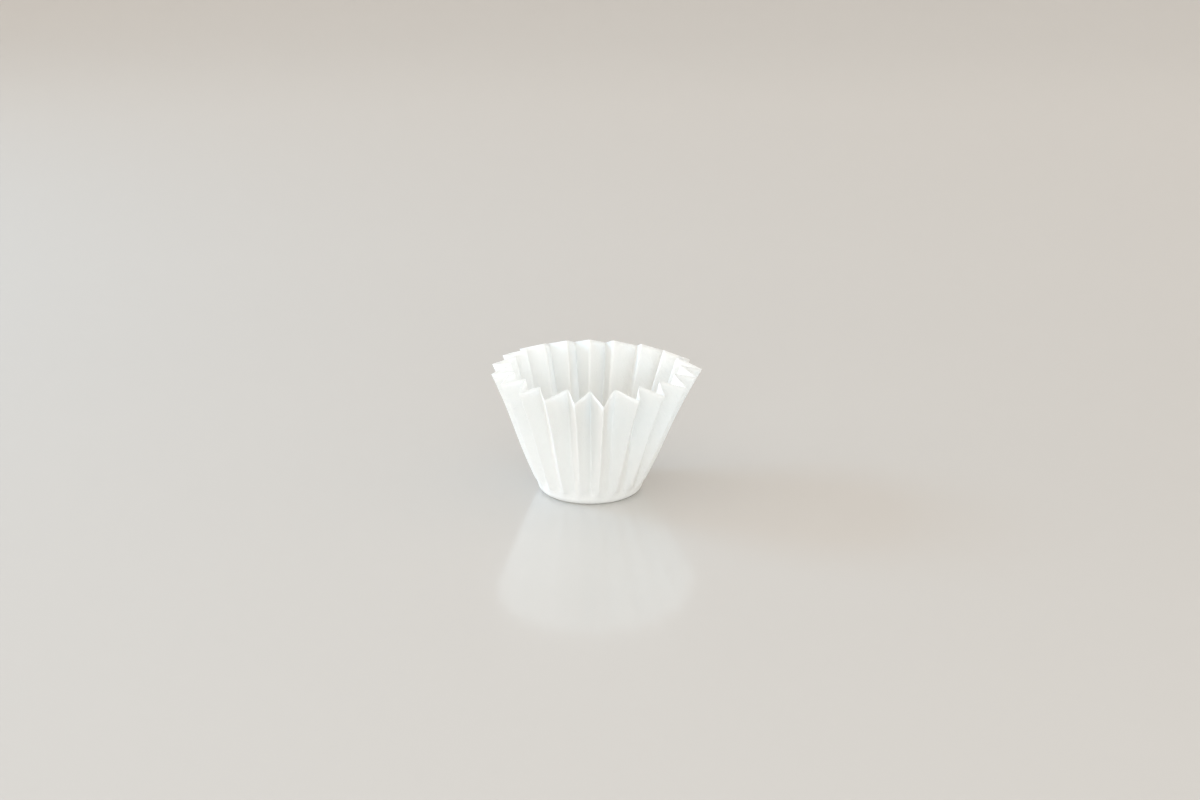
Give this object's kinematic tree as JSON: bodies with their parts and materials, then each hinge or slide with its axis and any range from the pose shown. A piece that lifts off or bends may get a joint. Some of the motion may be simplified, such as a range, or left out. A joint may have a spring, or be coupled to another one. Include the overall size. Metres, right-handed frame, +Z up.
{
  "type": "paper coffee filter",
  "caption": "Flat-bottomed pleated cup of thin crepe paper that holds ground coffee in a brewer while hot water drains through it.",
  "frame": {"origin": "centre of the flat base, on the surface that the filter stands on", "axes": "+Z up out of the cup's mouth, -Y to the front; the mouth stands a little off centre towards +X and +Y"},
  "size_m": [0.0844, 0.0881, 0.0535],
  "materials": {
    "paper": "matt creped filter paper, white, lets light through"
  },
  "bodies": {
    "root": {"filter_paper": "paper"}
  },
  "joints": []
}
